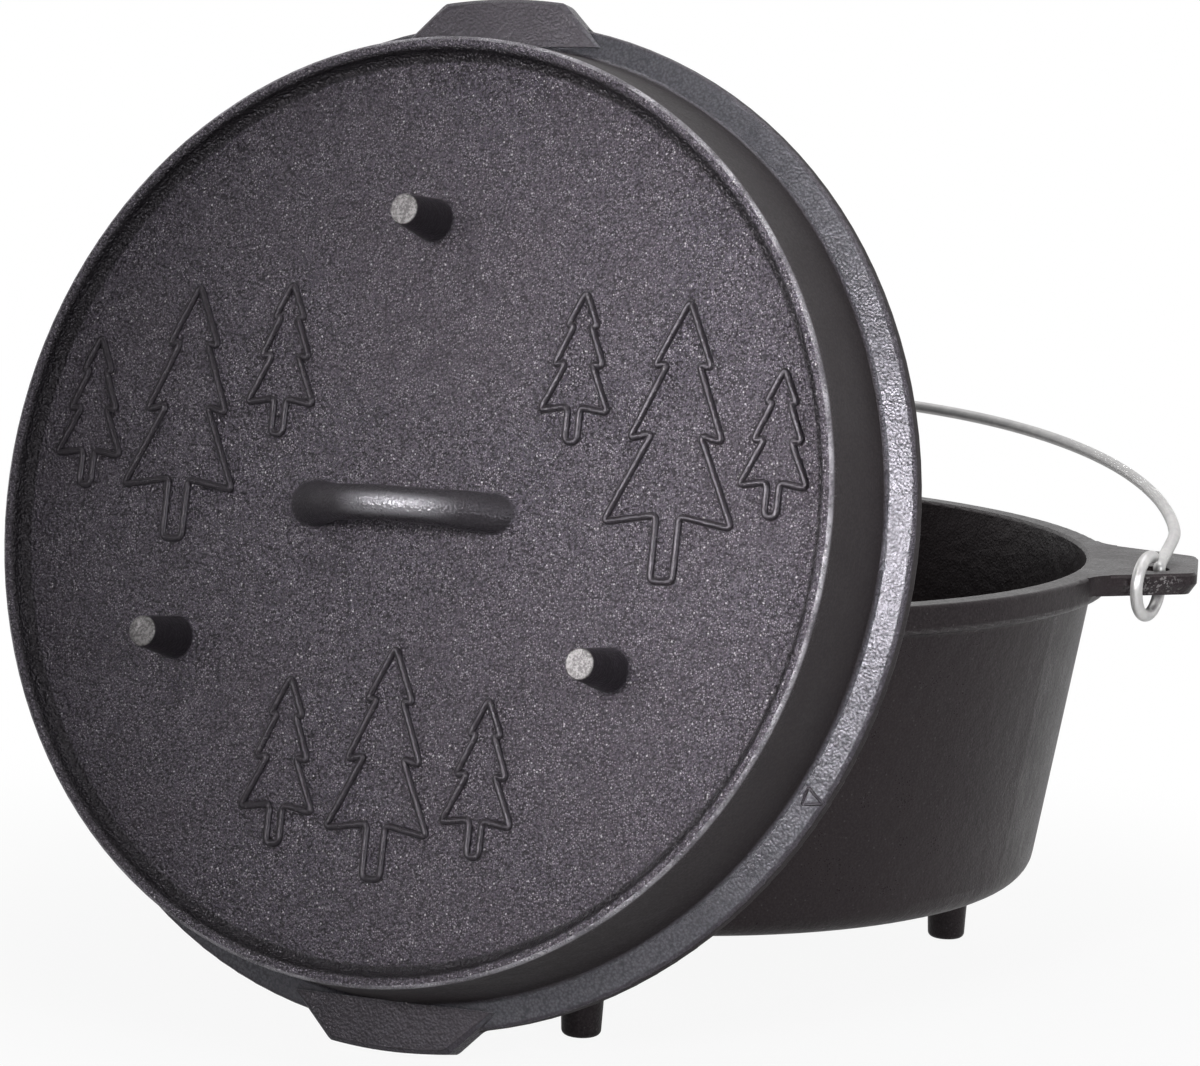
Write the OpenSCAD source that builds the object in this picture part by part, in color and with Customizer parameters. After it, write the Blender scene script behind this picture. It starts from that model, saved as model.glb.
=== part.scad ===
// Camp dutch oven: a cast pot on three feet, its deep lid leaning on the rim, and a wire bail.
// Millimetres. The floor is z = 0, the lid's outer face looks along -Y, and the origin is the middle of the
// footprint, so the pot's axis stands a little beside it.

/* [Pot] */
// Inner diameter of the pot at its rim
pot_d = 298; // [260:1:340]
// Height of the rim's flat top above the floor
pot_h = 149.5; // [135:0.5:180]
// Inner depth of the pot
pot_depth = 107.5; // [90:0.5:115]
// Thickness of the pot's floor
floor_t = 5; // [4:0.5:8]
// Thickness of the pot's side wall
wall_t = 3.9; // [3.5:0.1:6]
// How far the pot's wall draws in from the rim down to the base
pot_taper = 15; // [9:0.5:24]
// Outer corner radius between base and wall
base_round = 10; // [6:1:14]
// Width of the rim's flat top
rim_w = 8.6; // [7:0.1:12]
// Height of the thick band round the rim
band_h = 10; // [9:0.5:20]
// Rounding of the rim's edges
rim_round = 1.2; // [0.6:0.1:2]

/* [Feet] */
// Distance from the base's edge in to a foot's axis
foot_in = 17; // [14:0.5:29]
// Diameter of a foot at the floor
foot_d = 13; // [10:0.5:16]
// Diameter of a foot where it meets the pot
foot_root_d = 17; // [16:0.5:20]
// Rounding of a foot's lower edge
foot_round = 2; // [1:0.5:4]
// Fillet between a foot and the pot's base
foot_fillet = 3; // [1:0.5:4]
// Turn of the feet against the line of the ears
foot_turn = -2.3; // [-10:0.1:10]

/* [Ears] */
// Turn of the line of the ears about the pot's axis
ear_turn = 21.2; // [10:0.1:30]
// Length of an ear beyond the rim
ear_len = 29.4; // [26:0.2:34]
// Thickness of an ear
ear_t = 7.5; // [6:0.5:9]
// Width of an ear at the rim
ear_root_w = 71; // [64:1:80]
// Width of an ear at its tip
ear_tip_w = 40; // [34:1:46]
// Bevel along an ear's edges
ear_bevel = 0.9; // [0.6:0.1:2]
// Extra draft that draws an ear's underside in
ear_draft = 1.5; // [0:0.1:2]
// Rounding of an ear's tip corners, seen from above
ear_round = 5; // [3:0.5:7]
// Fillet between an ear's side and the rim, seen from above
ear_fillet = 14; // [8:1:18]
// Distance from an ear's tip back to the line of the bail's eye
eye_in = 16.2; // [14:0.2:18]
// Diameter of the hole through an ear
hole_d = 11; // [10.5:0.1:12]
// Width of the bar of metal between the hole and the ear's side
strip_w = 8.5; // [7:0.1:9]

/* [Bail] */
// Diameter of the bail's wire
wire_d = 4.2; // [3:0.1:4.6]
// Height of the bail's arc above its pivot line, when upright
bail_rise = 185; // [165:1:200]
// Height of the bend above the pivot line, when upright
leg_len = 43; // [36:1:56]
// Angle above the floor at which the bail rests, leaning back on the ears
bail_rest = 11; // [9:0.1:15]
// Skew of an eye about the upright, as bent
eye_skew = 14; // [8:1:18]
// Angle through which an eye is bent round
eye_sweep = 322; // [300:1:326]
// How far the eyes hang below the middle of the ears
eye_sag = 0.8; // [0:0.1:1]
// Clearance between the resting leg and the edge of the hole
leg_clear = 0.3; // [0.1:0.1:0.6]
// How much thicker a bend in the wire is than the wire, where it was hammered over
knuckle_extra = 0.3; // [0.2:0.1:0.6]

/* [Lid] */
// How far the lid's flange stands out beyond the pot's rim
flange_over = 7.4; // [4:0.1:12]
// Width of the flange outside the lid's wall
flange_w = 9.2; // [7:0.1:10]
// Thickness of the flange at its edge
flange_t = 5.6; // [4.5:0.1:8]
// How much the flange thickens from its edge in to the lid's wall
flange_slope = 2.4; // [0:0.1:3]
// Rounding of the flange's edges
flange_round = 1.8; // [0.8:0.1:2]
// Height of the coal rim above the flange's seat
lid_h = 39.6; // [36:0.1:46]
// How far the lid's wall draws in from the flange up to the coal rim
lid_taper = 3.4; // [2:0.1:6]
// Width of the coal rim
coal_rim_w = 4; // [3:0.1:5]
// Rounding of the coal rim's edges
coal_rim_round = 1.5; // [0.5:0.1:1.5]
// Depth of the outer face below the coal rim
recess = 6.1; // [5:0.1:9]
// Fillet round the outer face
recess_fillet = 4; // [2:0.5:4.5]
// Thickness of the lid's plate
lid_t = 4.4; // [4:0.1:6]
// Height of the locating lip under the seat
lip_h = 2.5; // [1.5:0.1:4]
// Clearance of the lip inside the pot
lip_clear = 0.9; // [0.5:0.1:2]
// Thickness of the lip at its lower edge
lip_t = 2.6; // [2.4:0.1:5]
// Inner draft of the lid's wall over its height
lid_draft = 1; // [0.5:0.5:5]
// Inner fillet between the lid's wall and its plate
pan_fillet = 9; // [5:1:12]

/* [Lid legs, handle and tabs] */
// Distance from the edge of the outer face in to a leg's axis
leg_in = 55.4; // [44:0.2:70]
// Height of a leg above the outer face
lid_leg_h = 22.1; // [21:0.1:28]
// Diameter of a leg's ground end
lid_leg_d = 10; // [8:0.5:12]
// Diameter of a leg at the face
lid_leg_root_d = 14.5; // [12:0.5:18]
// Fillet between a leg and the face
lid_leg_fillet = 3; // [1:0.5:5]
// Diameter of the handle's bar
bar_d = 10.8; // [9:0.2:12]
// Finger gap under the middle of the handle
bar_gap = 9.6; // [9:0.2:11]
// Half of the handle's span at the face, on the bar's centre line
bar_reach = 33.5; // [28:0.5:38]
// Diameter of the handle's flared left root
bar_root_d = 16; // [14:0.5:18]
// Diameter of the handle's slimmer right root
bar_nose_d = 12; // [11:0.5:18]
// How far a tab's rounded end stands out beyond the flange
tab_len = 7; // [5:0.5:12]
// Thickness of a tab
tab_t = 8.6; // [7:0.1:10]
// Width of a tab at its end, before its corners are rounded
tab_end_w = 43; // [36:0.5:48]
// Width of a tab where it leaves the flange
tab_root_w = 57; // [54:0.5:66]
// Rounding of a tab's corners
tab_round = 7; // [4:0.5:8]
// Fillet between a tab and the flange, seen from above
tab_fillet = 5; // [3:0.5:8]
// Rounding of a tab's long edges, as a bevel
tab_bevel = 1.4; // [0.6:0.1:2]

/* [Lid, as it leans] */
// Lean of the lid from the upright
lid_lean = 13.8; // [11:0.1:16]
// Turn of the lid in its own plane
lid_roll = 2.9; // [-6:0.1:6]
// Sideways place of the lid's axis
lid_side = -7.2; // [-12:0.1:12]
// Clearance between the lid's plate and the pot's rim
lean_clear = 0.3; // [0.1:0.1:0.6]

/* [Place on the floor] */
// Place of the pot's axis along X, which centres the footprint
pot_x = 2; // [-20:0.1:20]
// Place of the pot's axis along Y, which centres the footprint
pot_y = 7.9; // [-20:0.1:20]

/* [Hidden] */
$fn = 96;
iron = "#343236";
zinc = "#c4c4c8";

// Pot
rim_ri = pot_d / 2;
rim_ro = rim_ri + rim_w;
base_r = rim_ri - pot_taper;
foot_circle_r = base_r - foot_in;
base_z = pot_h - pot_depth - floor_t;
wall_slope = (rim_ri + wall_t - base_r) / (pot_h - base_z);
band_z = pot_h - band_h;
band_step_r = base_r + wall_slope * (band_z - base_z);
pan_z = base_z + floor_t;
pan_r = base_r - wall_t + wall_slope * floor_t;

// Ears, in the ear's own frame: s out from the pot's axis along the ear, t across it
ear_tip_s = rim_ro + ear_len;
ear_side_a = atan((ear_root_w - ear_tip_w) / 2 / ear_len);
eye_s = ear_tip_s - eye_in;
eye_half_w = ear_tip_w / 2 + eye_in * tan(ear_side_a);
eye_t = -(eye_half_w - strip_w / 2);
pivot_turn = atan2(eye_t, eye_s);
eye_p = norm([eye_s, eye_t]);
pivot_z = pot_h - ear_t / 2 - eye_sag;

// Bail, in its pivot frame: p along the pivot line, q across it, r up when the bail is upright
wire_r = wire_d / 2;
eye_reach = (strip_w + hole_d) / 2;
eye_r = eye_reach / cos(eye_skew);
hole_back_q = strip_w / 2 + hole_d;
leg_q = (ear_t / 2 + eye_sag + leg_clear - hole_back_q * tan(bail_rest)) * cos(bail_rest) + wire_r;
kink_a = atan2(cos(eye_skew) * sin(bail_rest), cos(bail_rest))
    + asin(leg_q / eye_r / norm([cos(bail_rest), cos(eye_skew) * sin(bail_rest)]));
kink_r = eye_r * (cos(kink_a) * cos(eye_skew) * cos(bail_rest) + sin(kink_a) * sin(bail_rest));
leg_p = eye_p + eye_r * cos(kink_a) * sin(eye_skew);
leg_rho = norm([leg_p, leg_q]);
bail_twist = atan2(leg_q, leg_p);
arc_r = (pow(bail_rise - leg_len, 2) + pow(leg_rho, 2)) / 2 / (bail_rise - leg_len);
arc_z = bail_rise - arc_r;
bend_a = atan2(leg_len - arc_z, leg_rho);

// Lid, in its own frame: z = 0 is the flange's seat and +z the outer side
face_z = lid_h - recess;
plate_z = face_z - lid_t;
flange_r = rim_ro + flange_over;
lid_wall_r = flange_r - flange_w;
coal_rim_ro = lid_wall_r - lid_taper;
coal_rim_ri = coal_rim_ro - coal_rim_w;
leg_circle_r = coal_rim_ri - leg_in;
tab_reach = flange_r + tab_len;
lip_ro = rim_ri - wall_slope * lip_h - lip_clear;
lip_ri = lip_ro - lip_t;
bar_rise = bar_gap + bar_d / 2;
bar_arc_r = (pow(bar_reach, 2) + pow(bar_rise, 2)) / 2 / bar_rise;
bar_arc_z = face_z + bar_rise - bar_arc_r;
bar_end_a = asin(bar_reach / bar_arc_r);
bar_sink = lid_t * 0.6;
tab_side_a = atan((tab_root_w - tab_end_w) / 2 / tab_len);
tab_sink = tab_fillet / 100;

// Lid, as it leans: the plate's inner side touches the front of the pot's rim
lid_line = ((rim_ro - rim_round) * cos(lid_lean) + (pot_h - rim_round) * sin(lid_lean)
    + rim_round + lean_clear - plate_z) / cos(lid_lean);
lid_up = tab_reach - tab_bevel * tan(lid_lean);
lid_place = [lid_side, lid_up * sin(lid_lean) - lid_line, lid_up * cos(lid_lean)];

function unit(v) = v / norm(v);

// Region between a corner at p, whose edges run to q1 and q2, and the arc of radius r that rounds it.
// It reaches a little past both edges, so that it cuts or joins them cleanly.
module corner(p, q1, q2, r) {
    d1 = unit(q1 - p);
    d2 = unit(q2 - p);
    half = acos(d1 * d2) / 2;
    c = p + unit(d1 + d2) * r / sin(half);
    t1 = p + d1 * r / tan(half);
    t2 = p + d2 * r / tan(half);
    past = 1.05;
    difference() {
        polygon([c, t1, c + past * (t1 - c), c + past * (p - c), c + past * (t2 - c), t2]);
        translate(c) circle(r);
    }
}

// Region between a disc of radius disc_r and a straight side, seen from above, under a fillet of radius r.
// The side passes through p and leans in by angle a as it runs out.
module root_fillet(disc_r, p, a, r) {
    n = [sin(a), cos(a)];
    d = n * p + r;
    c = d * n + sqrt(pow(disc_r + r, 2) - d * d) * [cos(a), -sin(a)];
    foot = c * disc_r / (disc_r + r);
    difference() {
        polygon([c, c - r * n, [foot[0] - r, (c - r * n)[1] - r], foot - unit(foot) * r, foot]);
        translate(c) circle(r);
    }
}

// Half of the pot's section, from the axis out
module pot_section() {
    out = [[0, base_z], [base_r, base_z], [band_step_r, band_z], [rim_ro, band_z],
        [rim_ro, pot_h], [rim_ri, pot_h], [pan_r, pan_z], [0, pan_z]];
    soft = band_h / 4;
    difference() {
        union() {
            polygon(out);
            corner(out[2], out[1], out[3], soft);
            corner(out[6], out[5], out[7], base_round);
        }
        corner(out[1], out[0], out[2], base_round);
        corner(out[3], out[2], out[4], soft);
        corner(out[4], out[3], out[5], rim_round);
        corner(out[5], out[4], out[6], rim_round);
    }
}

// One foot, tapering to the floor and let into the pot's base
module foot() {
    low = [foot_d / 2, 0];
    root = [foot_root_d / 2, base_z];
    half = 45 + atan2(root[0] - low[0], base_z) / 2;
    flare = foot_fillet / tan(half);
    centre = root + [flare, -foot_fillet];
    side = root - unit(root - low) * flare;
    sunk = base_z + floor_t / 2;
    rotate_extrude() difference() {
        polygon([[0, 0], low, side, centre, root + [flare, 0], [root[0] + flare, sunk], [0, sunk]]);
        translate(centre) circle(foot_fillet);
        corner(low, [0, 0], root, foot_round);
    }
}

// An ear's outline seen from above, drawn in by inset
module ear_outline(inset) {
    tip = [ear_tip_s - inset, ear_tip_w / 2 + (inset * sin(ear_side_a) - inset) / cos(ear_side_a)];
    root = [rim_ri + rim_w / 2, tip[1] + (tip[0] - rim_ri - rim_w / 2) * tan(ear_side_a)];
    difference() {
        polygon([root, tip, [tip[0], -tip[1]], [root[0], -root[1]]]);
        corner(tip, root, [tip[0], 0], ear_round);
        mirror([0, 1]) corner(tip, root, [tip[0], 0], ear_round);
    }
}

// One ear, flush with the rim's top, with bevelled edges and a hole beside its front side
module ear() {
    draft = ear_bevel + ear_draft;
    difference() {
        union() {
            hull() {
                translate([0, 0, pot_h - ear_t]) linear_extrude(ear_t) ear_outline(draft);
                translate([0, 0, pot_h - ear_t / 2]) linear_extrude(ear_t / 2) ear_outline(ear_bevel);
                translate([0, 0, pot_h - ear_t / 2]) linear_extrude(ear_t / 2 - ear_bevel) ear_outline(0);
            }
            for (side = [0, 1]) mirror([0, side, 0]) {
                translate([0, 0, pot_h - ear_t + ear_bevel]) linear_extrude(ear_t - ear_bevel)
                    root_fillet(rim_ro, [rim_ro, ear_root_w / 2], ear_side_a, ear_fillet);
            }
        }
        rotate([0, 0, pivot_turn]) translate([eye_p, eye_reach, pot_h - 2 * ear_t])
            cylinder(d = hole_d, h = 3 * ear_t);
    }
}

module pot() color(iron) translate([pot_x, pot_y, 0]) {
    rotate_extrude() pot_section();
    for (i = [0 : 2]) rotate([0, 0, ear_turn + foot_turn - 90 + 120 * i])
        translate([foot_circle_r, 0, 0]) foot();
    for (i = [0, 1]) rotate([0, 0, ear_turn + 180 * i]) difference() {
        ear();
        cylinder(r = rim_ri + rim_w / 2, h = 2 * pot_h);
    }
}

// Half of the lid's section, from the axis out
module lid_section() {
    out = [[0, face_z], [coal_rim_ri, face_z], [coal_rim_ri, lid_h], [coal_rim_ro, lid_h],
        [lid_wall_r, flange_t + flange_slope], [flange_r, flange_t], [flange_r, 0], [lip_ro, 0],
        [lip_ro - lip_clear / 2, -lip_h], [lip_ri, -lip_h], [lip_ri - lid_draft, plate_z], [0, plate_z]];
    difference() {
        union() {
            polygon(out);
            corner(out[1], out[0], out[2], recess_fillet);
            corner(out[4], out[3], out[5], flange_round);
            corner(out[10], out[9], out[11], pan_fillet);
        }
        corner(out[2], out[1], out[3], coal_rim_round);
        corner(out[3], out[2], out[4], coal_rim_round);
        corner(out[5], out[4], out[6], flange_round);
        corner(out[6], out[5], out[7], flange_round);
        corner(out[9], out[8], out[10], lip_t / 4);
    }
}

// One leg on the outer face, on which the lid stands when it is turned over
module lid_leg() {
    root = [lid_leg_root_d / 2, face_z];
    end = [lid_leg_d / 2, face_z + lid_leg_h];
    worn = lid_leg_d / 16;
    rotate_extrude() difference() {
        union() {
            polygon([[0, face_z - lid_t / 2], [root[0], face_z - lid_t / 2], root, end, [0, end[1]]]);
            corner(root, end, root + [lid_leg_fillet * 4, 0], lid_leg_fillet);
        }
        corner(end, root, [0, end[1]], worn);
    }
}

// Loop handle across the middle of the outer face
module handle() {
    turn = bar_end_a + asin(bar_sink / bar_arc_r);
    flare_h = bar_sink + bar_d * 0.7;
    difference() {
        union() {
            translate([0, 0, bar_arc_z]) rotate([90, 0, 0]) rotate([0, 0, 90 - turn])
                rotate_extrude(angle = 2 * turn) translate([bar_arc_r, 0]) circle(d = bar_d);
            for (side = [-1, 1]) translate([side * bar_reach, 0, face_z])
                rotate([0, -side * (90 - bar_end_a), 0]) translate([0, 0, -bar_sink])
                    cylinder(d1 = side < 0 ? bar_root_d : bar_nose_d, d2 = bar_d * 0.96, h = flare_h);
        }
        translate([0, 0, plate_z - bar_root_d]) cylinder(r = 2 * bar_reach, h = bar_root_d + lid_t / 2);
    }
}

// A tab's outline seen from above, drawn in by inset; the tab points along +x
module tab_outline(inset) {
    end = tab_reach - inset;
    half_w = tab_end_w / 2 - inset;
    root_s = lid_wall_r;
    root_w = half_w + (tab_reach - root_s) * tan(tab_side_a);
    flat = sqrt(end * end - pow(half_w - tab_round, 2));
    intersection() {
        circle(r = end, $fn = 360);
        difference() {
            polygon([[root_s, root_w], [flat, half_w], [end, half_w - tab_round], [end, tab_round - half_w],
                [flat, -half_w], [root_s, -root_w]]);
            corner([flat, half_w], [root_s, root_w], [flat, 0], tab_round);
            mirror([0, 1]) corner([flat, half_w], [root_s, root_w], [flat, 0], tab_round);
        }
    }
}

// One lifting tab on the flange's edge
module tab() {
    hull() {
        linear_extrude(tab_t) tab_outline(tab_bevel);
        translate([0, 0, tab_bevel]) linear_extrude(tab_t - 2 * tab_bevel) tab_outline(0);
    }
    for (side = [0, 1]) mirror([0, side, 0])
        translate([0, 0, flange_round]) linear_extrude(flange_t - 2 * flange_round)
            root_fillet(flange_r, [flange_r, tab_root_w / 2 - tab_sink], tab_side_a, tab_fillet);
}

// The lid in its own frame
module lid_casting() {
    rotate_extrude() lid_section();
    for (i = [0 : 2]) rotate([0, 0, 90 + 120 * i]) translate([leg_circle_r, 0, 0]) lid_leg();
    handle();
    for (i = [0, 1]) rotate([0, 0, 90 + 180 * i]) tab();
}

module lid() color(iron) translate([pot_x, pot_y, 0])
    translate(lid_place) rotate([90 - lid_lean, 0, 0]) rotate([0, 0, lid_roll]) lid_casting();

// Arc of wire of radius r about the axis square to the drawn plane, from angle a0 through sweep
module wire_arc(r, a0, sweep)
    rotate([90, 0, 0]) rotate([0, 0, a0]) rotate_extrude(angle = sweep) translate([r, 0]) circle(wire_r);

// Eye at one end of the bail, as it stands when the bail rests
module eye() {
    translate([eye_p, 0, 0]) rotate([0, 0, 90 - eye_skew]) wire_arc(eye_r, kink_a - eye_sweep, eye_sweep);
}

// One leg of the upright bail, with its bend and its eye
module bail_end() {
    rotate([90 - bail_rest, 0, 0]) eye();
    translate([leg_p, -leg_q, kink_r]) {
        sphere(d = wire_d + knuckle_extra);
        cylinder(r = wire_r, h = leg_len - kink_r);
        translate([0, 0, leg_len - kink_r]) sphere(d = wire_d + knuckle_extra);
    }
}

module bail() color(zinc)
    translate([pot_x, pot_y, pivot_z]) rotate([0, 0, ear_turn + pivot_turn]) rotate([bail_rest - 90, 0, 0]) {
        rotate([0, 0, -bail_twist]) translate([0, 0, arc_z]) wire_arc(arc_r, bend_a, 180 - 2 * bend_a);
        for (i = [0, 1]) rotate([0, 0, 180 * i]) bail_end();
    }

pot();
lid();
bail();
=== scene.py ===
import math

import bmesh
import bpy
from mathutils import Matrix, Vector


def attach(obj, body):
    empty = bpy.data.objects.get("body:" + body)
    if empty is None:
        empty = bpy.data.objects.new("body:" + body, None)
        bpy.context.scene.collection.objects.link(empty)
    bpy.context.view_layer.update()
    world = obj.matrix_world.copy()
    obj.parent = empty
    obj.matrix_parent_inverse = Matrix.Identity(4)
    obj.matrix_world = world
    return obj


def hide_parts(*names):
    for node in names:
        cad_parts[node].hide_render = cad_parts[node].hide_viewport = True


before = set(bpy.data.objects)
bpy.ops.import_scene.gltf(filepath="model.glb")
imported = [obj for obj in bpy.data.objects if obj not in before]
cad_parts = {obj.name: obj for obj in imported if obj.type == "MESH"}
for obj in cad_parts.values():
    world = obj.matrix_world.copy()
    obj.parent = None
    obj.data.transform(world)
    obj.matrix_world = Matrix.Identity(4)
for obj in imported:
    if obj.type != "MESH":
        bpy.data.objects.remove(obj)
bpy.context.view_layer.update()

# Pot
# One sand casting in grey iron: tapered wall, thick band at the rim, three stub feet and two flat ears.
# It is seasoned, so a thin baked oil film lies over the grain that the sand left.
MM = 0.001
pot_x, pot_y = 2.0 * MM, 7.9 * MM
pot_dark = (0.0090, 0.0068, 0.0074, 1)
pot_pale = (0.0226, 0.0172, 0.0192, 1)
pot_warm = (0.0186, 0.0136, 0.0142, 1)
pot_sheen = (1.0, 0.89, 0.93, 1)


class ShaderNodes:
    """Short calls for the nodes of one shader tree."""

    def __init__(self, tree):
        self.tree = tree

    def node(self, kind, **settings):
        made = self.tree.nodes.new(kind)
        for key, value in settings.items():
            setattr(made, key, value)
        return made

    def join(self, source, target):
        self.tree.links.new(source, target)

    def feed(self, socket, value):
        """Joins another node's output to the socket, or sets it to a plain value."""
        if isinstance(value, bpy.types.NodeSocket):
            self.join(value, socket)
        else:
            socket.default_value = value

    def math(self, operation, a, b=0.0, clamp=False):
        made = self.node("ShaderNodeMath", operation=operation, use_clamp=clamp)
        self.feed(made.inputs[0], a)
        self.feed(made.inputs[1], b)
        return made.outputs[0]

    def times(self, product, *factors):
        for factor in factors:
            product = self.math("MULTIPLY", product, factor)
        return product

    def most(self, largest, *others):
        for other in others:
            largest = self.math("MAXIMUM", largest, other)
        return largest

    def ramp(self, value, low, high, out_low=0.0, out_high=1.0):
        """Smooth rise or fall from out_low to out_high while the value goes from low to high."""
        made = self.node("ShaderNodeMapRange", interpolation_type="SMOOTHSTEP")
        self.feed(made.inputs["Value"], value)
        made.inputs["From Min"].default_value = low
        made.inputs["From Max"].default_value = high
        made.inputs["To Min"].default_value = out_low
        made.inputs["To Max"].default_value = out_high
        return made.outputs["Result"]

    def band(self, value, low, high, soft):
        """1 between low and high, falling to 0 over soft on either side."""
        rise = self.ramp(value, low - soft, low)
        fall = self.ramp(value, high, high + soft, 1.0, 0.0)
        return self.times(rise, fall)

    def axes(self, where):
        split = self.node("ShaderNodeSeparateXYZ")
        self.join(where, split.inputs[0])
        return split.outputs

    def distance(self, where, point):
        apart = self.node("ShaderNodeVectorMath", operation="DISTANCE")
        self.join(where, apart.inputs[0])
        apart.inputs[1].default_value = point
        return apart.outputs["Value"]

    def noise(self, where, per_metre, detail, roughness):
        made = self.node("ShaderNodeTexNoise")
        self.join(where, made.inputs["Vector"])
        made.inputs["Scale"].default_value = per_metre
        made.inputs["Detail"].default_value = detail
        made.inputs["Roughness"].default_value = roughness
        return made.outputs["Fac"]

    def cells(self, where, per_metre):
        made = self.node("ShaderNodeTexVoronoi")
        self.join(where, made.inputs["Vector"])
        made.inputs["Scale"].default_value = per_metre
        return made

    def specks(self, where, per_metre, share, size):
        """Small round dots in a share of the cells of a grid, size given against the cell."""
        grid = self.cells(where, per_metre)
        drawn = self.node("ShaderNodeSeparateColor")
        self.join(grid.outputs["Color"], drawn.inputs["Color"])
        chosen = self.ramp(drawn.outputs["Red"], 1 - share, 1 - share * 0.5)
        dot = self.ramp(grid.outputs["Distance"], size * 0.4, size, 1.0, 0.0)
        return self.math("MULTIPLY", chosen, dot, clamp=True)

    def blend(self, amount, a, b):
        made = self.node("ShaderNodeMix", data_type="RGBA")
        self.feed(made.inputs["Factor"], amount)
        self.feed(made.inputs["A"], a)
        self.feed(made.inputs["B"], b)
        return made.outputs["Result"]

    def bump(self, height, depth, strength, under=None):
        made = self.node("ShaderNodeBump")
        self.join(height, made.inputs["Height"])
        made.inputs["Distance"].default_value = depth
        self.feed(made.inputs["Strength"], strength)
        if under is not None:
            self.join(under, made.inputs["Normal"])
        return made.outputs["Normal"]


class Surface(ShaderNodes):
    """A procedural material under construction."""

    def __init__(self, name):
        self.material = bpy.data.materials.new(name)
        self.material.use_nodes = True
        super().__init__(self.material.node_tree)
        self.shader = self.tree.nodes["Principled BSDF"]

    def lay(self, amount, colour):
        """Lays a colour over those that the surface has so far."""
        self.colour = self.blend(amount, self.colour, colour)


def iron_surface(name, place, dark, pale, warm):
    """Seasoned cast iron in the piece's own frame. The sand's grain shows in colour, gloss and height."""
    iron = Surface(name)
    coord = iron.node("ShaderNodeTexCoord").outputs["Object"]
    own = iron.node("ShaderNodeMapping", vector_type="TEXTURE")
    iron.join(coord, own.inputs["Vector"])
    own.inputs["Location"].default_value = place.to_translation()
    own.inputs["Rotation"].default_value = place.to_euler()
    iron.where = own.outputs["Vector"]

    # Height: sand and rounded pebbles, over the lumps and slow swells of the mould
    iron.sand = iron.noise(iron.where, per_metre=1250, detail=1.0, roughness=0.6)
    pebble = iron.math("SUBTRACT", 1.0, iron.cells(iron.where, per_metre=1050).outputs["Distance"])
    iron.fine = iron.math("ADD", iron.times(iron.sand, 0.6), iron.times(pebble, 0.55))
    lumps = iron.noise(iron.where, per_metre=210, detail=3.0, roughness=0.5)
    swell = iron.noise(iron.where, per_metre=32, detail=2.0, roughness=0.5)
    iron.slow = iron.math("ADD", iron.times(lumps, 0.5), swell)

    # Painted highlights: small bright dots stand in for the grain's sparkle, fainter in patches, and a few
    # larger painted glints
    blotch = iron.noise(iron.where, per_metre=120, detail=3.0, roughness=0.6)
    patches = iron.ramp(blotch, 0.34, 0.64, 0.45, 1.0)
    iron.dots = iron.times(iron.specks(iron.where, per_metre=1450, share=0.85, size=0.52), patches)
    iron.glint = iron.most(iron.specks(iron.where, per_metre=900, share=0.08, size=0.40),
                           iron.specks(iron.where, per_metre=640, share=0.05, size=0.30))

    # Oil film: darker in the hollows, warmer in clouds, and glossier where the grain stands up or it has run
    drift = iron.noise(iron.where, per_metre=15, detail=3.0, roughness=0.55)
    runs = iron.noise(iron.where, per_metre=70, detail=4.0, roughness=0.6)
    iron.cloud = iron.ramp(drift, 0.36, 0.68)
    streak = iron.ramp(runs, 0.40, 0.70)
    iron.colour = iron.blend(iron.ramp(iron.fine, 0.42, 0.74), dark, pale)
    iron.lay(iron.times(iron.cloud, 0.45), warm)
    iron.rough = iron.ramp(iron.math("ADD", iron.fine, iron.times(streak, 0.3)), 0.35, 1.05, 0.38, 0.27)
    return iron


def finish_iron(iron, grain, dots, glint, gloss, sheen):
    """Joins an iron surface's colour, roughness and grain to its shader."""
    painted_sparkle_grey = (0.38, 0.352, 0.385, 1)
    glint_grey = (0.62, 0.60, 0.61, 1)
    grain_depth = 1.6 * MM
    lump_strength = 0.35
    # Painted highlights: the sparkle dots and the glints are laid over the colour in pale grey
    iron.lay(iron.times(iron.dots, dots), painted_sparkle_grey)
    iron.lay(iron.times(iron.glint, glint), glint_grey)
    iron.join(iron.colour, iron.shader.inputs["Base Color"])
    iron.join(iron.rough, iron.shader.inputs["Roughness"])
    iron.shader.inputs["Specular IOR Level"].default_value = gloss
    iron.shader.inputs["Specular Tint"].default_value = sheen
    lumpy = iron.bump(iron.slow, grain_depth, lump_strength)
    iron.join(iron.bump(iron.fine, grain_depth, grain, lumpy), iron.shader.inputs["Normal"])


pot_iron = iron_surface("pot_iron", Matrix.Translation((pot_x, pot_y, 0)), pot_dark, pot_pale, pot_warm)

# The wire's eyes have scuffed the film off the ears' sides
scuff_x, scuff_y, scuff_z = 171.2 * MM, 36.6 * MM, 145.7 * MM
scuff_low_z, scuff_high_z = 142.8 * MM, 148.4 * MM
scuff_soft = 0.6 * MM
scuff_full_r, scuff_end_r = 3 * MM, 14 * MM
scuff_share = 0.70
scuff_grey = (0.26, 0.25, 0.25, 1)
rubbing = pot_iron.noise(pot_iron.where, per_metre=620, detail=3.0, roughness=0.6)
scratches = pot_iron.ramp(rubbing, 0.52, 0.60)
pot_z = pot_iron.axes(pot_iron.where)["Z"]
ear_side_band = pot_iron.band(pot_z, scuff_low_z, scuff_high_z, scuff_soft)
for hand in (1, -1):
    from_eye = pot_iron.distance(pot_iron.where, (hand * scuff_x, hand * scuff_y, scuff_z))
    near_eye = pot_iron.ramp(from_eye, scuff_full_r, scuff_end_r, scuff_share, 0.0)
    pot_iron.lay(pot_iron.times(scratches, ear_side_band, near_eye), scuff_grey)

finish_iron(pot_iron, grain=0.09, dots=0.03, glint=0.06, gloss=0.36, sheen=pot_sheen)
pot_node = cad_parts["pot"]
pot_node.data.materials.clear()
pot_node.data.materials.append(pot_iron.material)
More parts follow.
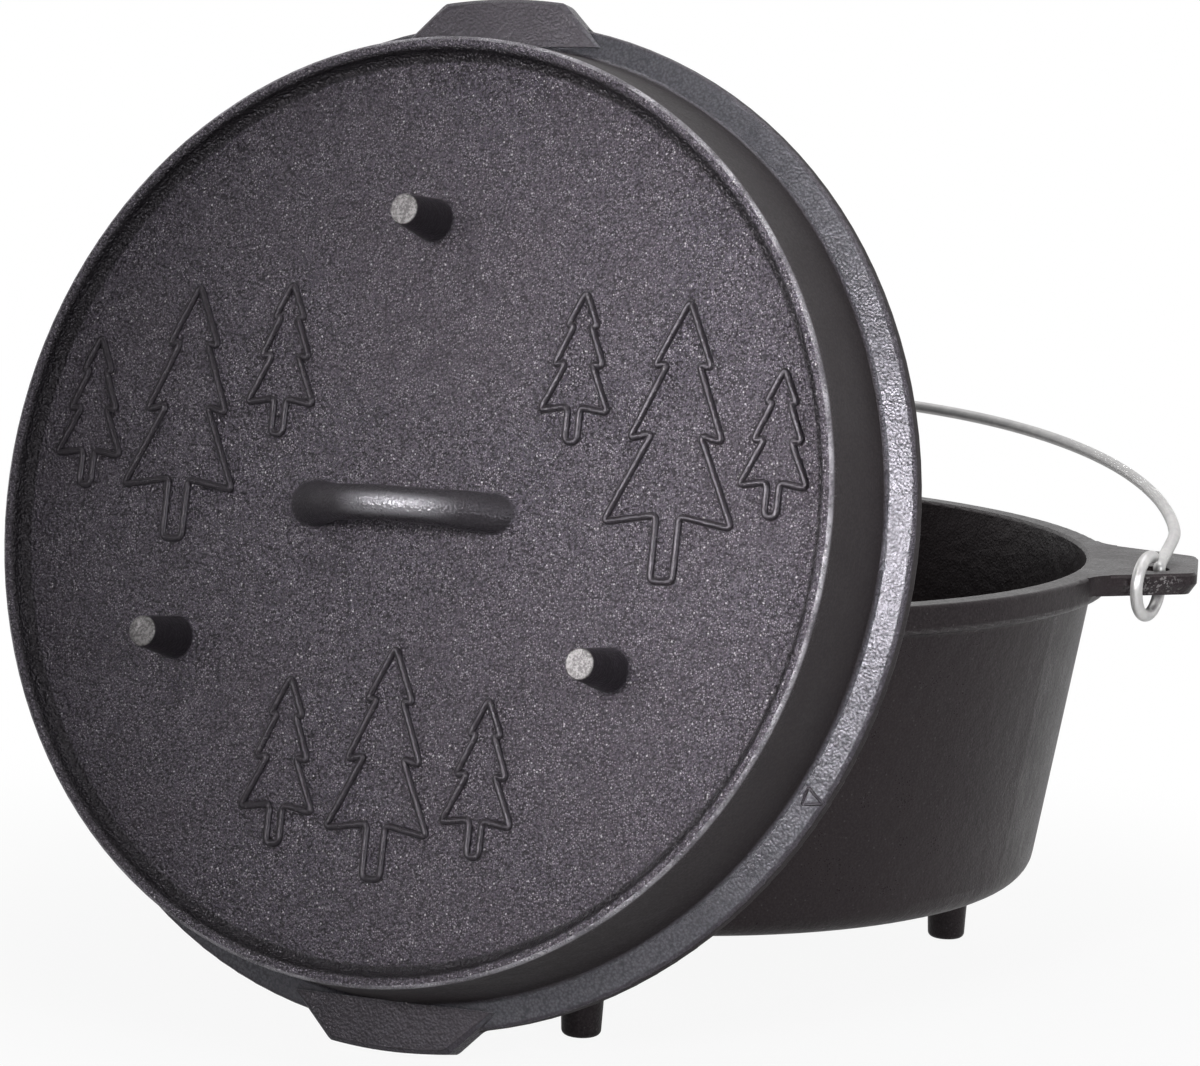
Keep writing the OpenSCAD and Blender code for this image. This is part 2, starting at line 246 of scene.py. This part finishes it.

# Lid
# One sand casting: flange with two lifting tabs, tapered wall, low coal rim, flat face with three legs.
# The legs' ends are ground bare, and handling has worn the film off the sharpest edges; the coal rim's outer
# edge is also painted pale as a highlight line.
lid_lean = math.radians(13.8)
lid_roll = math.radians(2.9)
lid_centre = Vector((-5.2 * MM, -115.56 * MM, 166.7 * MM))
lid_place = (Matrix.Translation(lid_centre) @ Matrix.Rotation(math.pi / 2 - lid_lean, 4, "X")
             @ Matrix.Rotation(lid_roll, 4, "Z"))
face_z = 33.5 * MM
rim_top_z = 39.6 * MM
rim_outer_r = 152.4 * MM
groove_inner_r, groove_outer_r = 145.6 * MM, 148.6 * MM
wall_foot_z, wall_head_z = 9.5 * MM, 37.5 * MM
flange_edge_r, flange_edge_z = 165 * MM, 5.6 * MM
flange_rise, flange_run = 2.4 * MM, 9.2 * MM
leg_top_z = face_z + 22.1 * MM
legs_outer_r = 104 * MM
handle_half_l, handle_half_w = 43 * MM, 10 * MM

lid_dark = (0.0070, 0.0058, 0.0076, 1)
lid_pale = (0.098, 0.085, 0.107, 1)
lid_warm = (0.044, 0.036, 0.044, 1)
lid_sheen = (0.97, 0.91, 1.0, 1)
lid_gloss = 0.55
lid_iron = iron_surface("lid_iron", lid_place, lid_dark, lid_pale, lid_warm)
lid_x, lid_y, lid_z = lid_iron.axes(lid_iron.where)
lid_radius_squared = lid_iron.math("ADD", lid_iron.times(lid_x, lid_x), lid_iron.times(lid_y, lid_y))
lid_radius = lid_iron.math("SQRT", lid_radius_squared)
sandy = lid_iron.ramp(lid_iron.sand, 0.35, 0.65)

# Outside the coal rim the grain is finer and more even than on the face
even_dark = (0.040, 0.037, 0.044, 1)
even_pale = (0.050, 0.045, 0.053, 1)
on_face = lid_iron.ramp(lid_radius, rim_outer_r - 0.8 * MM, rim_outer_r + 0.6 * MM, 1.0, 0.0)
off_face = lid_iron.ramp(on_face, 0.0, 1.0, 0.68, 0.0)
lid_iron.lay(off_face, lid_iron.blend(lid_iron.cloud, even_dark, even_pale))

# The wall and the flange's edge were drawn clean from the sand: smoother and browner than the face, and
# coloured darker than it as painted shade
wall_brown_and_shade_dark = (0.0070, 0.0046, 0.0036, 1)
wall_brown_and_shade_pale = (0.0130, 0.0090, 0.0070, 1)
past_rim = lid_iron.ramp(lid_radius, rim_outer_r - 0.4 * MM, rim_outer_r + 0.2 * MM)
wall_band = lid_iron.band(lid_z, wall_foot_z, wall_head_z, 1.5 * MM)
edge_ring = lid_iron.band(lid_radius, flange_edge_r - 0.5 * MM, flange_edge_r + 0.4 * MM, 0.3 * MM)
below_edge = lid_iron.ramp(lid_z, flange_edge_z - 1.4 * MM, flange_edge_z - 0.6 * MM, 1.0, 0.0)
on_edge = lid_iron.times(edge_ring, below_edge)
on_wall = lid_iron.most(lid_iron.times(past_rim, wall_band), on_edge)
lid_iron.lay(lid_iron.times(on_wall, 0.92), lid_iron.blend(sandy, wall_brown_and_shade_dark, wall_brown_and_shade_pale))

# Painted shade: the fillet inside the coal rim is coloured near black
groove_shade_black = (0.0050, 0.0040, 0.0044, 1)
groove_shade = lid_iron.band(lid_radius, groove_inner_r, groove_outer_r, 1.2 * MM)
lid_iron.lay(lid_iron.times(groove_shade, 0.92), groove_shade_black)

# The flange was left as the sand gave it: coarse and a little glossy. Its pale colour is partly the iron's
# and partly a painted sheen
flange_dark = (0.045, 0.045, 0.051, 1)
flange_pale_and_sheen = (0.130, 0.130, 0.145, 1)
flange_ring = lid_iron.band(lid_radius, flange_edge_r - 8.4 * MM, flange_edge_r - 1.4 * MM, 0.6 * MM)
flange_band = lid_iron.band(lid_z, flange_edge_z - 0.2 * MM, flange_edge_z + flange_rise, 0.5 * MM)
on_flange = lid_iron.times(flange_ring, flange_band)
flange_colour_and_sheen = lid_iron.blend(lid_iron.ramp(lid_iron.fine, 0.25, 0.90), flange_dark, flange_pale_and_sheen)
lid_iron.lay(lid_iron.times(on_flange, 0.8), flange_colour_and_sheen)

# The handle is smoother than the face, and its back is rubbed bare by hands and hooks. The pale rubbed band
# is also a painted highlight, laid along the crest where the highlight falls
bar_dark = (0.012, 0.0106, 0.0124, 1)
bar_pale = (0.024, 0.0214, 0.0246, 1)
bar_rubbed_highlight = (0.34, 0.33, 0.355, 1)
at_handle = lid_iron.times(lid_iron.band(lid_x, -handle_half_l, handle_half_l, 4 * MM),
                           lid_iron.band(lid_y, -handle_half_w, handle_half_w, 2 * MM))
on_bar = lid_iron.times(at_handle, lid_iron.ramp(lid_z, face_z + 0.8 * MM, face_z + 2.4 * MM))
bar_side = lid_iron.times(on_bar, lid_iron.ramp(lid_y, 0.5 * MM, 3.0 * MM))
rubbed_bar_and_highlight = lid_iron.times(lid_iron.band(lid_y, -2.2 * MM, 1.2 * MM, 2.6 * MM),
                            lid_iron.ramp(lid_z, face_z + 12 * MM, face_z + 20 * MM),
                            lid_iron.band(lid_x, 2 * MM, 18 * MM, 20 * MM))
lid_iron.lay(on_bar, lid_iron.blend(sandy, bar_dark, bar_pale))
lid_iron.lay(lid_iron.times(rubbed_bar_and_highlight, 0.75), bar_rubbed_highlight)

# The legs' sides came smooth from the sand; their near-black colour is painted shade
leg_shade_black = (0.0070, 0.0058, 0.0068, 1)
on_leg = lid_iron.times(lid_iron.ramp(lid_z, face_z + 2 * MM, face_z + 3.5 * MM),
                        lid_iron.ramp(lid_radius, legs_outer_r, legs_outer_r + 4 * MM, 1.0, 0.0),
                        lid_iron.math("SUBTRACT", 1.0, at_handle))
lid_iron.lay(lid_iron.times(on_leg, 0.9), leg_shade_black)

# Bare metal shows along the coal rim's outer edge, where the pale colour is partly wear and partly a painted
# highlight line, and on the ground ends of the legs
worn_highlight_grey = (0.34, 0.33, 0.35, 1)
ground_dark = (0.080, 0.076, 0.075, 1)
ground_pale = (0.185, 0.176, 0.176, 1)
rim_edge = lid_iron.times(lid_iron.ramp(lid_z, rim_top_z - 2.2 * MM, rim_top_z - 0.8 * MM),
                          lid_iron.band(lid_radius, rim_outer_r - 0.9 * MM, rim_outer_r, 0.25 * MM))
handling = lid_iron.noise(lid_iron.where, per_metre=55, detail=5.0, roughness=0.65)
worn_and_highlight = lid_iron.times(rim_edge, lid_iron.ramp(handling, 0.40, 0.64, 0.25, 1.0))
lid_iron.lay(worn_and_highlight, worn_highlight_grey)
ground = lid_iron.ramp(lid_z, leg_top_z - 0.5 * MM, leg_top_z - 0.2 * MM)
lid_iron.lay(ground, lid_iron.blend(sandy, ground_dark, ground_pale))
bare = lid_iron.most(lid_iron.times(ground, 0.6), lid_iron.times(rubbed_bar_and_highlight, 0.75),
                     lid_iron.times(worn_and_highlight, 0.6), lid_iron.times(on_flange, 0.22))
lid_iron.join(bare, lid_iron.shader.inputs["Metallic"])

# The grain is deepest on the face and nearly gone where the iron is drawn, ground or worn
smooth_part = lid_iron.most(lid_iron.times(on_wall, 0.85), lid_iron.times(on_bar, 0.64),
                            lid_iron.times(on_leg, 0.85), ground, lid_iron.times(worn_and_highlight, 0.7))
rough_part = lid_iron.math("SUBTRACT", 1.0, smooth_part)
lid_grain = lid_iron.times(rough_part, lid_iron.ramp(on_face, 0.0, 1.0, 0.30, 0.82))
lid_grain = lid_iron.math("SUBTRACT", lid_grain, lid_iron.times(on_flange, 0.16))

# The painted sparkle dots and glints stay on the open face, and each zone has its own dullness
open_face = lid_iron.times(lid_iron.math("SUBTRACT", on_face, groove_shade, clamp=True),
                           lid_iron.math("SUBTRACT", 1.0, lid_iron.most(on_bar, on_leg)))
lid_iron.dots = lid_iron.times(lid_iron.dots, open_face)
lid_iron.glint = lid_iron.times(lid_iron.glint, open_face)
patchy = lid_iron.math("SUBTRACT", lid_iron.cloud, 0.5)
dullness = ((patchy, 0.10), (on_leg, 0.08), (on_flange, 0.02), (on_wall, 0.26), (on_edge, 0.14),
            (bar_side, 0.26), (worn_and_highlight, -0.08))
for zone, added in dullness:
    lid_iron.rough = lid_iron.math("ADD", lid_iron.rough, lid_iron.times(zone, added))

finish_iron(lid_iron, grain=lid_grain, dots=0.64, glint=0.6, gloss=lid_gloss, sheen=lid_sheen)
lid_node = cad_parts["lid"]
lid_node.data.materials.clear()
lid_node.data.materials.append(lid_iron.material)

# Handle
# Part of the lid's casting: an arched bar, thick at its left and slimmer at its right, whose roots run out
# into the face in soft fillets. Hands have rubbed its back smooth.
bar_arc_r = 44.908 * MM
bar_arc_z = 3.592 * MM
bar_half_span = 33.5 * MM
bar_end = math.asin(bar_half_span / bar_arc_r)
bar_sunk_turn = 0.0115
bar_r, left_swell, right_swell = 5.75 * MM, 1.85 * MM, 0.65 * MM
left_fillet, right_fillet = 3.2 * MM, 1.0 * MM
level_from, level_over = 8.5 * MM, 8.0 * MM
bar_steps = 44
bar_sides = 36
root_crowding = 1.35


def skin(name, rings, closed_path=False):
    """Mesh of quads between rings of points. The last ring joins the first, or both ends are capped."""
    shape = bmesh.new()
    made = [[shape.verts.new(point) for point in ring] for ring in rings]
    count = len(rings[0])
    spans = len(rings) if closed_path else len(rings) - 1
    for i in range(spans):
        near, far = made[i], made[(i + 1) % len(rings)]
        for j in range(count):
            k = (j + 1) % count
            shape.faces.new((near[j], near[k], far[k], far[j]))
    if not closed_path:
        shape.faces.new(made[0][::-1])
        shape.faces.new(made[-1])
    bmesh.ops.recalc_face_normals(shape, faces=shape.faces)
    for face in shape.faces:
        face.smooth = True
    mesh = bpy.data.meshes.new(name)
    shape.to_mesh(mesh)
    shape.free()
    piece = bpy.data.objects.new(name, mesh)
    bpy.context.scene.collection.objects.link(piece)
    return piece


def smooth_step(value):
    value = min(1.0, max(0.0, value))
    return value * value * (3 - 2 * value)


def handle_ring(angle, thick, fillet):
    """One ring of the handle, square to the bar away from the lid's face and level with the face at it."""
    hand = 1 if angle > 0 else -1
    outward = Vector((math.sin(angle), 0, math.cos(angle)))
    middle = bar_arc_r * outward + Vector((0, 0, bar_arc_z))
    height = middle.z - face_z
    flat = smooth_step((level_from - height) / level_over)
    spread = 0.0
    if height < fillet:
        rest = min(1.0, (fillet - height) / fillet)
        spread = fillet * (1 - math.sqrt(max(0.0, 1 - rest * rest)))
    long_r = thick / math.sin(bar_end) + spread
    wide_r = thick + spread
    ring = []
    for j in range(bar_sides):
        turn = 2 * math.pi * j / bar_sides
        square = middle + thick * (math.sin(turn) * outward + math.cos(turn) * Vector((0, 1, 0)))
        level = middle + Vector((hand * long_r * math.sin(turn), wide_r * math.cos(turn), 0))
        ring.append(lid_place @ square.lerp(level, flat))
    return ring


handle_rings = []
for step in range(-bar_steps, bar_steps + 1):
    along = step / bar_steps
    swing = math.copysign(1 - (1 - abs(along)) ** root_crowding, along)
    to_left = smooth_step((-along - 0.15) / 0.85)
    to_right = smooth_step((along - 0.30) / 0.38)
    thick = bar_r + left_swell * to_left ** 2 + right_swell * to_right
    fillet = left_fillet if along < 0 else right_fillet
    handle_rings.append(handle_ring(swing * (bar_end + bar_sunk_turn), thick, fillet))
handle = skin("handle", handle_rings)
handle.data.materials.append(lid_iron.material)
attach(handle, "lid")

# Relief
# Raised line work of the lid's casting: fir trees in outline on either side of the handle and below it.
# The lines stand about a millimetre proud, smooth and round-backed, and are coloured darker than the face.
line_sides = 12
fir_line_r, fir_corner = 1.25 * MM, 2.2 * MM
relief_dark = (0.0085, 0.0070, 0.0088, 1)
relief_pale = (0.022, 0.0185, 0.023, 1)
relief_warm = (0.015, 0.012, 0.015, 1)
relief_iron = iron_surface("relief_iron", lid_place, relief_dark, relief_pale, relief_warm)
finish_iron(relief_iron, grain=0.15, dots=0.0, glint=0.1, gloss=lid_gloss, sheen=lid_sheen)


def rounded(points, cut, closed=False, steps=5):
    """Polyline whose corners are rounded off, each starting cut before its corner."""
    path = []
    count = len(points)
    for i, corner in enumerate(points):
        if not closed and i in (0, count - 1):
            path.append(corner.copy())
            continue
        before, after = points[i - 1] - corner, points[(i + 1) % count] - corner
        start = corner + before.normalized() * min(cut, before.length * 0.48)
        stop = corner + after.normalized() * min(cut, after.length * 0.48)
        for k in range(steps + 1):
            t = k / steps
            path.append((1 - t) ** 2 * start + 2 * t * (1 - t) * corner + t * t * stop)
    return path


def ridge(name, outline, level, radius, cut):
    """A raised closed line on the lid, from its outline in the lid's plane; level gives a point's height."""
    path = rounded([Vector((x * MM, y * MM, 0)) for x, y in outline], cut, closed=True)
    rings = []
    for i, point in enumerate(path):
        along = (path[(i + 1) % len(path)] - path[i - 1]).normalized()
        across = Vector((-along.y, along.x, 0))
        ring = []
        for j in range(line_sides):
            turn = 2 * math.pi * j / line_sides
            lift = Vector((0, 0, level(point) + radius * math.sin(turn)))
            ring.append(lid_place @ (point + lift + radius * math.cos(turn) * across))
        rings.append(ring)
    piece = skin(name, rings, closed_path=True)
    piece.data.materials.append(relief_iron.material)
    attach(piece, "lid")


# Half of a fir's outline: distance from its stem and height, as shares of its whole height
fir_half = [(0.115, 0.76), (0.062, 0.775), (0.185, 0.50), (0.095, 0.525), (0.255, 0.20), (0.045, 0.235),
            (0.045, 0.0)]
# Place of each fir's foot on the face and its height, in millimetres
firs = [(-125, 2, 50), (-88, -14, 84), (-52, 22, 50), (57, 24, 48), (94, -18, 88), (129, 4, 46),
        (-36, -110, 54), (2, -118, 74), (38, -108, 50)]
for number, (foot_x, foot_y, tall) in enumerate(firs):
    right_side = [(foot_x + x * tall, foot_y + y * tall) for x, y in fir_half]
    left_side = [(foot_x - x * tall, foot_y + y * tall) for x, y in reversed(fir_half)]
    outline = [(foot_x, foot_y + tall)] + right_side + left_side
    ridge("fir_%d" % number, outline, lambda point: face_z, fir_line_r, fir_corner)

# Pointer
# A small raised triangle on the flange, cast with the lid in the same iron.
# It follows the flange's slope up to the wall.
pointer_corners = [(138.7, -75.8), (136.9, -81.3), (143.4, -80.6)]
pointer_line_r, pointer_corner = 0.55 * MM, 0.7 * MM
flange_slope = flange_rise / flange_run


def flange_top(point):
    """Height of the flange's upper side at a point of the lid's plane."""
    return flange_edge_z + flange_slope * (flange_edge_r - point.length)


ridge("pointer", pointer_corners, flange_top, pointer_line_r, pointer_corner)

# Bail
# One length of zinc-plated steel wire, bent cold: a half-round arc, two legs, and an eye at each end that
# goes down through the ear's hole, under its side bar and back over it.
wire_r = 2.1 * MM
pivot = Vector((pot_x, pot_y, 144.95 * MM))
pivot_turn = math.radians(13.1055)
bail_rest = math.radians(11)
bail_rise = 185 * MM
leg_top = 43 * MM

# The ear's side, the strip beside its hole, and the eye that goes round that strip
ear_tip_s = 187 * MM
ear_root_w, ear_tip_w, ear_taper_l = 71 * MM, 40 * MM, 29.4 * MM
ear_side = math.atan((ear_root_w - ear_tip_w) / 2 / ear_taper_l)
ear_half_t, eye_sag, leg_clear = 3.75 * MM, 0.8 * MM, 0.3 * MM
strip_w, hole_d = 8.5 * MM, 11 * MM
eye_in = 16.2 * MM
eye_skew = math.radians(14)
eye_sweep = math.radians(322)
eye_t = -(ear_tip_w / 2 + eye_in * math.tan(ear_side) - strip_w / 2)
eye_p = math.hypot(ear_tip_s - eye_in, eye_t)
eye_r = (strip_w + hole_d) / 2 / math.cos(eye_skew)

# The turn of the eye at which the leg leaves it, clear of the ear's top
leg_over_ear = ear_half_t + eye_sag + leg_clear - (strip_w / 2 + hole_d) * math.tan(bail_rest)
leg_q = leg_over_ear * math.cos(bail_rest) + wire_r
rest_run = math.cos(eye_skew) * math.sin(bail_rest)
kink = (math.atan2(rest_run, math.cos(bail_rest))
        + math.asin(leg_q / eye_r / math.hypot(math.cos(bail_rest), rest_run)))

eye_steps = 44
bow_steps = 96
bend_cut, bend_steps = 7 * MM, 8
wire_sides = 20


def eye_point(turn):
    """Point of the first eye's wire, in the frame of the upright bail."""
    flat = Vector((eye_r * math.cos(turn), 0, eye_r * math.sin(turn)))
    skewed = Matrix.Rotation(math.pi / 2 - eye_skew, 3, "Z") @ flat + Vector((eye_p, 0, 0))
    return Matrix.Rotation(math.pi / 2 - bail_rest, 3, "X") @ skewed


leg_foot = eye_point(kink)
leg_head = Vector((leg_foot.x, leg_foot.y, leg_top))
bow_half = math.hypot(leg_head.x, leg_head.y)
bow_rise = bail_rise - leg_top
bow_r = (bow_rise ** 2 + bow_half ** 2) / 2 / bow_rise
bow_z = bail_rise - bow_r
bow_start = math.atan2(leg_top - bow_z, bow_half)
bow_twist = math.atan2(-leg_head.y, leg_head.x)

eye_path = [eye_point(kink - eye_sweep * (1 - i / eye_steps)) for i in range(eye_steps - 1)]
bow_path = []
for i in range(1, bow_steps):
    turn = bow_start + (math.pi - 2 * bow_start) * i / bow_steps
    flat = Vector((bow_r * math.cos(turn), 0, bow_z + bow_r * math.sin(turn)))
    bow_path.append(Matrix.Rotation(-bow_twist, 3, "Z") @ flat)
half_turn = Matrix.Rotation(math.pi, 3, "Z")
first_leg = rounded([eye_path[-1], leg_foot, leg_head, bow_path[1]], bend_cut, steps=bend_steps)[1:-1]
first_end = eye_path + first_leg
last_end = [half_turn @ point for point in reversed(first_end)]
wire_path = first_end + bow_path[1:-1] + last_end
to_row = (Matrix.Translation(pivot) @ Matrix.Rotation(pivot_turn, 4, "Z")
          @ Matrix.Rotation(bail_rest - math.pi / 2, 4, "X"))


def sweep_rings(path, radius, sides):
    """Rings square to a path, turned along it without twist."""
    last = len(path) - 1
    rings = []
    across = None
    for i, point in enumerate(path):
        along = (path[min(i + 1, last)] - path[max(i - 1, 0)]).normalized()
        if across is None:
            across = along.orthogonal().normalized()
        across = (across - along * across.dot(along)).normalized()
        other = along.cross(across)
        turns = [2 * math.pi * j / sides for j in range(sides)]
        rings.append([point + radius * (math.cos(turn) * across + math.sin(turn) * other) for turn in turns])
    return rings


def nipped_end(ring, inner):
    """Two smaller rings past an end of the wire, where the cutters nipped it off."""
    middle = sum(ring, Vector()) / len(ring)
    away = (sum(ring, Vector()) - sum(inner, Vector())).normalized()
    rings = []
    for share, push in ((0.93, 0.25 * MM), (0.75, 0.5 * MM)):
        rings.append([middle + (point - middle) * share + away * push for point in ring])
    return rings


wire_rings = sweep_rings([to_row @ point for point in wire_path], wire_r, wire_sides)
first_nip = nipped_end(wire_rings[0], wire_rings[1])
last_nip = nipped_end(wire_rings[-1], wire_rings[-2])
wire = skin("wire", first_nip[::-1] + wire_rings + last_nip)

zinc_dull = (0.62, 0.61, 0.61, 1)
zinc_bright = (0.72, 0.71, 0.70, 1)
zinc = Surface("bail_wire")
zinc_where = zinc.node("ShaderNodeTexCoord").outputs["Object"]
zinc_cloud = zinc.noise(zinc_where, per_metre=260, detail=3.0, roughness=0.6)
zinc_fine = zinc.noise(zinc_where, per_metre=600, detail=1.0, roughness=0.5)
zinc_colour = zinc.blend(zinc.ramp(zinc_cloud, 0.35, 0.68), zinc_dull, zinc_bright)
zinc.join(zinc_colour, zinc.shader.inputs["Base Color"])
zinc.shader.inputs["Metallic"].default_value = 0.6
zinc.join(zinc.ramp(zinc_cloud, 0.3, 0.7, 0.36, 0.42), zinc.shader.inputs["Roughness"])
zinc.join(zinc.bump(zinc_fine, 0.1 * MM, 0.08), zinc.shader.inputs["Normal"])
wire.data.materials.append(zinc.material)
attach(wire, "bail")
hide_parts("bail")

# Studio
# A pale floor that runs out of sight into a white surround, and broad soft lamps as for a catalogue picture.
# The floor shows white to the camera and keeps a little of the shadow close to the object.
floor_half, floor_z = 6.0, -0.2 * MM
floor_grey = (0.55, 0.55, 0.55, 1)
floor_mirror = 0.32
shadow_near, shadow_far, shadow_white = 0.18, 0.42, 0.92
floor_corners = [(x * floor_half, y * floor_half, floor_z) for x, y in ((-1, -1), (1, -1), (1, 1), (-1, 1))]
floor_mesh = bpy.data.meshes.new("floor")
floor_mesh.from_pydata(floor_corners, [], [(0, 1, 2, 3)])
floor = bpy.data.objects.new("floor", floor_mesh)
bpy.context.scene.collection.objects.link(floor)
floor_paint = Surface("floor_paint")
floor_paint.shader.inputs["Base Color"].default_value = floor_grey
floor_paint.shader.inputs["Roughness"].default_value = 0.9
floor_paint.shader.inputs["Specular IOR Level"].default_value = 0.1
floor_where = floor_paint.node("ShaderNodeTexCoord").outputs["Object"]
floor_far = floor_paint.distance(floor_where, (0, 0, 0))
floor_behind = floor_paint.ramp(floor_paint.axes(floor_where)["Y"], -0.5, 0.1)
floor_rays = floor_paint.node("ShaderNodeLightPath").outputs
floor_mirrored = floor_paint.times(floor_rays["Is Glossy Ray"], floor_behind, floor_mirror)
floor_seen = floor_paint.most(floor_rays["Is Camera Ray"], floor_mirrored)
floor_fade = floor_paint.ramp(floor_far, shadow_near, shadow_far, shadow_white, 1.0)
floor_white = floor_paint.node("ShaderNodeEmission")
floor_white.inputs["Strength"].default_value = 1.0
floor_mix = floor_paint.node("ShaderNodeMixShader")
floor_paint.join(floor_paint.times(floor_seen, floor_fade), floor_mix.inputs[0])
floor_paint.join(floor_paint.shader.outputs[0], floor_mix.inputs[1])
floor_paint.join(floor_white.outputs[0], floor_mix.inputs[2])
floor_paint.join(floor_mix.outputs[0], floor_paint.tree.nodes["Material Output"].inputs["Surface"])
floor_mesh.materials.append(floor_paint.material)

# The cove behind the object is white, and the room that its front looks into is dimmer
room_way = Vector((0.1, -0.97, 0.2)).normalized()
cove_white, room_white = 0.85, 0.15
ambient = 0.6
world = bpy.data.worlds.new("surround")
bpy.context.scene.world = world
world.use_nodes = True
surround = ShaderNodes(world.node_tree)
surround.tree.nodes.clear()
room_side = surround.node("ShaderNodeVectorMath", operation="DOT_PRODUCT")
surround.join(surround.node("ShaderNodeTexCoord").outputs["Generated"], room_side.inputs[0])
room_side.inputs[1].default_value = room_way
cove = surround.ramp(room_side.outputs["Value"], -0.1, 0.7, cove_white, room_white)
rays = surround.node("ShaderNodeLightPath").outputs
mirrored = surround.most(rays["Is Glossy Ray"], rays["Is Transmission Ray"])
share = surround.math("ADD", surround.times(mirrored, 1 - ambient), ambient)
strength = surround.most(surround.times(cove, share), rays["Is Camera Ray"])
backdrop = surround.node("ShaderNodeBackground")
backdrop.inputs["Color"].default_value = (1, 1, 1, 1)
surround.join(strength, backdrop.inputs["Strength"])
surround.join(backdrop.outputs[0], surround.node("ShaderNodeOutputWorld").inputs["Surface"])


def softbox(name, place, target, size, power, spread=math.pi, colour=(1, 1, 1)):
    """A soft lamp of the given size; a small spread is the honeycomb grid that keeps its light in a pool."""
    lamp = bpy.data.lights.new(name, "AREA")
    lamp.shape = "RECTANGLE"
    lamp.size, lamp.size_y = size
    lamp.energy = power
    lamp.spread = spread
    lamp.color = colour
    held = bpy.data.objects.new(name, lamp)
    held.location = place
    held.rotation_euler = (Vector(target) - Vector(place)).to_track_quat("-Z", "Y").to_euler()
    held.visible_camera = False
    bpy.context.scene.collection.objects.link(held)


softbox("left_box", (-0.30, -1.02, 0.52), (0.24, -0.15, 0.33), (0.35, 0.45), 0.60, math.radians(37))
softbox("front_box", (0.22, -1.5, 0.66), (0.18, -0.15, 0.19), (0.4, 0.35), 0.56, math.radians(22))
softbox("top_box", (0.2, 0.1, 2.2), (0, 0, 0.1), (1.5, 1.3), 12)
softbox("right_box", (1.05, -0.6, 0.5), (0.12, -0.1, 0.17), (0.2, 0.35), 4, colour=(0.96, 0.98, 1.0))

# Camera
# A long lens, above the rim and to the right of the lid's axis.
# Placed by fitting the lid's circles, legs and tabs and the pot's rim, ear and feet to the photograph.
camera_place = Vector((0.7257, -1.3290, 0.3759))
camera_yaw, camera_pitch, camera_roll = -0.5096, 0.1479, 0.0349
ahead = Vector((math.sin(camera_yaw) * math.cos(camera_pitch), math.cos(camera_yaw) * math.cos(camera_pitch),
                -math.sin(camera_pitch)))
side = Vector((math.cos(camera_yaw), -math.sin(camera_yaw), 0))
above = side.cross(ahead)
rolled_side = math.cos(camera_roll) * side + math.sin(camera_roll) * above
rolled_above = -math.sin(camera_roll) * side + math.cos(camera_roll) * above
camera_data = bpy.data.cameras.new("camera")
camera_data.sensor_width = 36
camera_data.sensor_fit = "HORIZONTAL"
camera_data.lens = 132
camera_data.clip_end = 50
camera = bpy.data.objects.new("camera", camera_data)
camera.matrix_world = Matrix((
    (rolled_side.x, rolled_above.x, -ahead.x, camera_place.x),
    (rolled_side.y, rolled_above.y, -ahead.y, camera_place.y),
    (rolled_side.z, rolled_above.z, -ahead.z, camera_place.z),
    (0, 0, 0, 1)))
bpy.context.scene.collection.objects.link(camera)
bpy.context.scene.camera = camera
bpy.context.scene.view_settings.view_transform = "Standard"
